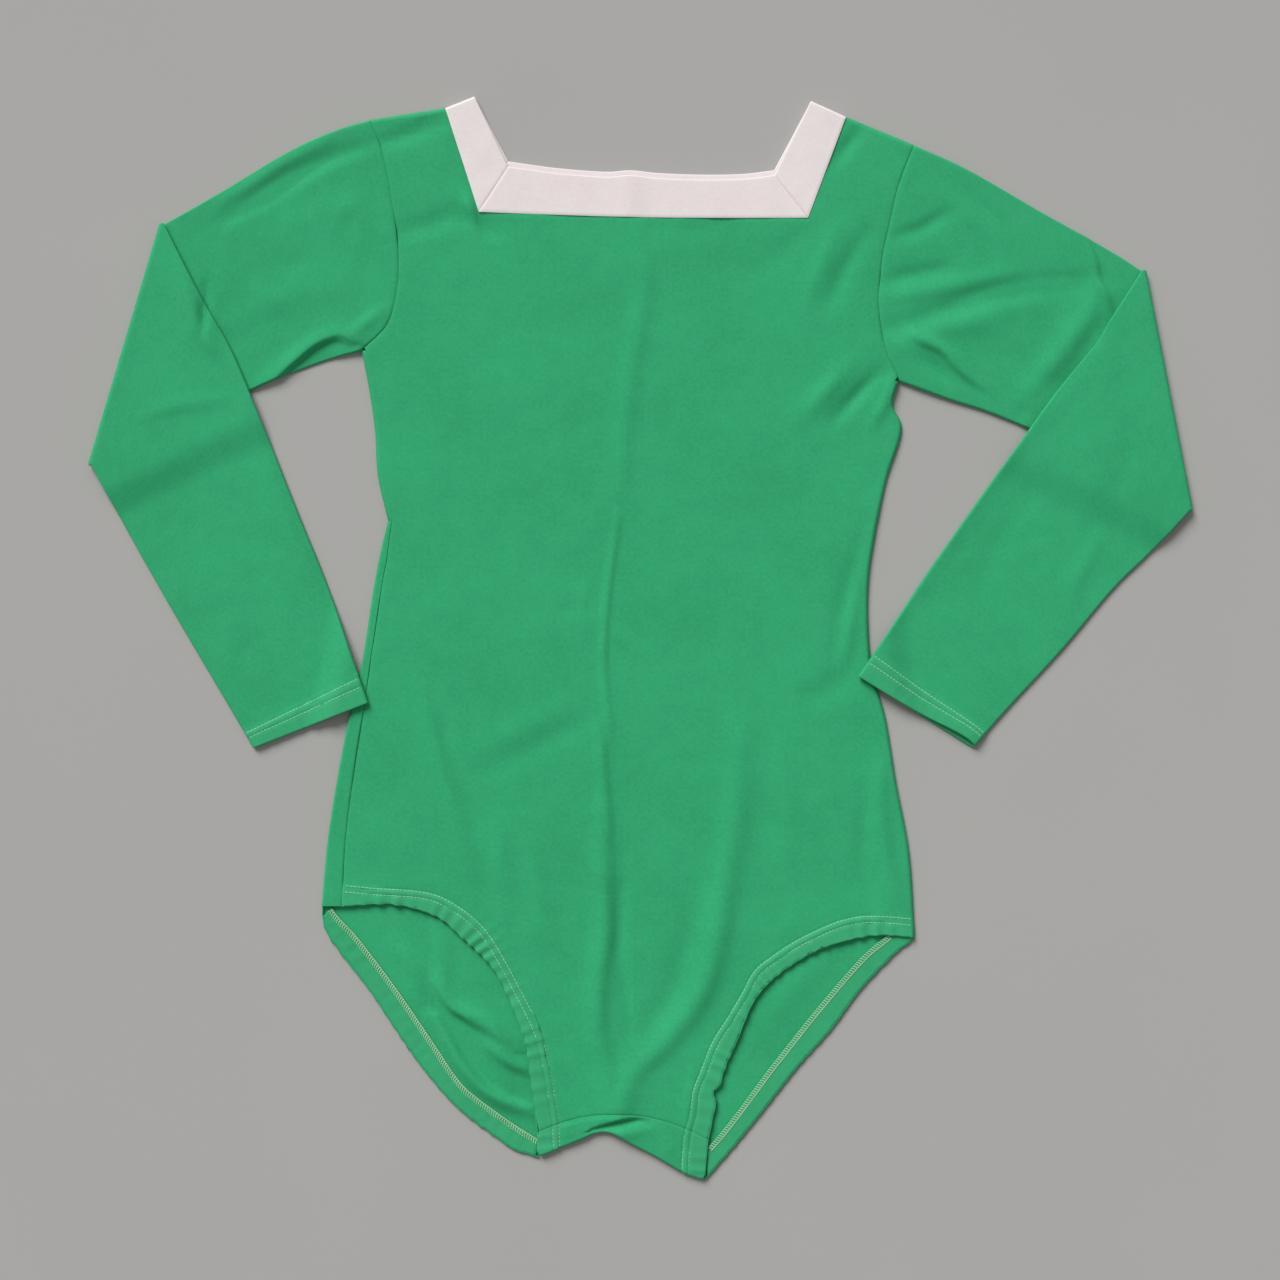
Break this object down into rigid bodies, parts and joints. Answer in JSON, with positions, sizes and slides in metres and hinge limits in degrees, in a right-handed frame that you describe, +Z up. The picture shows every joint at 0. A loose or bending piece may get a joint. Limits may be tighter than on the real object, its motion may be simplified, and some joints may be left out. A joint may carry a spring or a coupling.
{
  "type": "long-sleeved leotard",
  "caption": "Long-sleeved jersey leotard laid flat, front up, with a square white neck band, folded sleeves and elasticated leg openings.",
  "frame": {"origin": "on the surface that the garment lies on, below the centre of its bounding box", "axes": "+X to the viewer's right, +Y towards the neck, +Z up out of the surface and through the cloth"},
  "size_m": [0.7513, 0.738, 0.0087],
  "materials": {
    "green_jersey": "soft matte knit with a faint sheen",
    "white_jersey": "soft matte double knit",
    "elastic_hem": "turned knit hem over elastic, two rows of pale stitching",
    "sewing_thread": "pale green polyester thread"
  },
  "bodies": {
    "root": {"front": "green_jersey", "back": "green_jersey", "gusset": "green_jersey", "sleeve_left": "green_jersey", "sleeve_right": "green_jersey", "neckband_front": "white_jersey", "neckband_back": "white_jersey", "neckband_left": "white_jersey", "neckband_right": "white_jersey", "leg_hem_left_front": "elastic_hem", "leg_hem_right_front": "elastic_hem", "leg_hem_left_back": "elastic_hem", "leg_hem_right_back": "elastic_hem"}
  },
  "joints": []
}
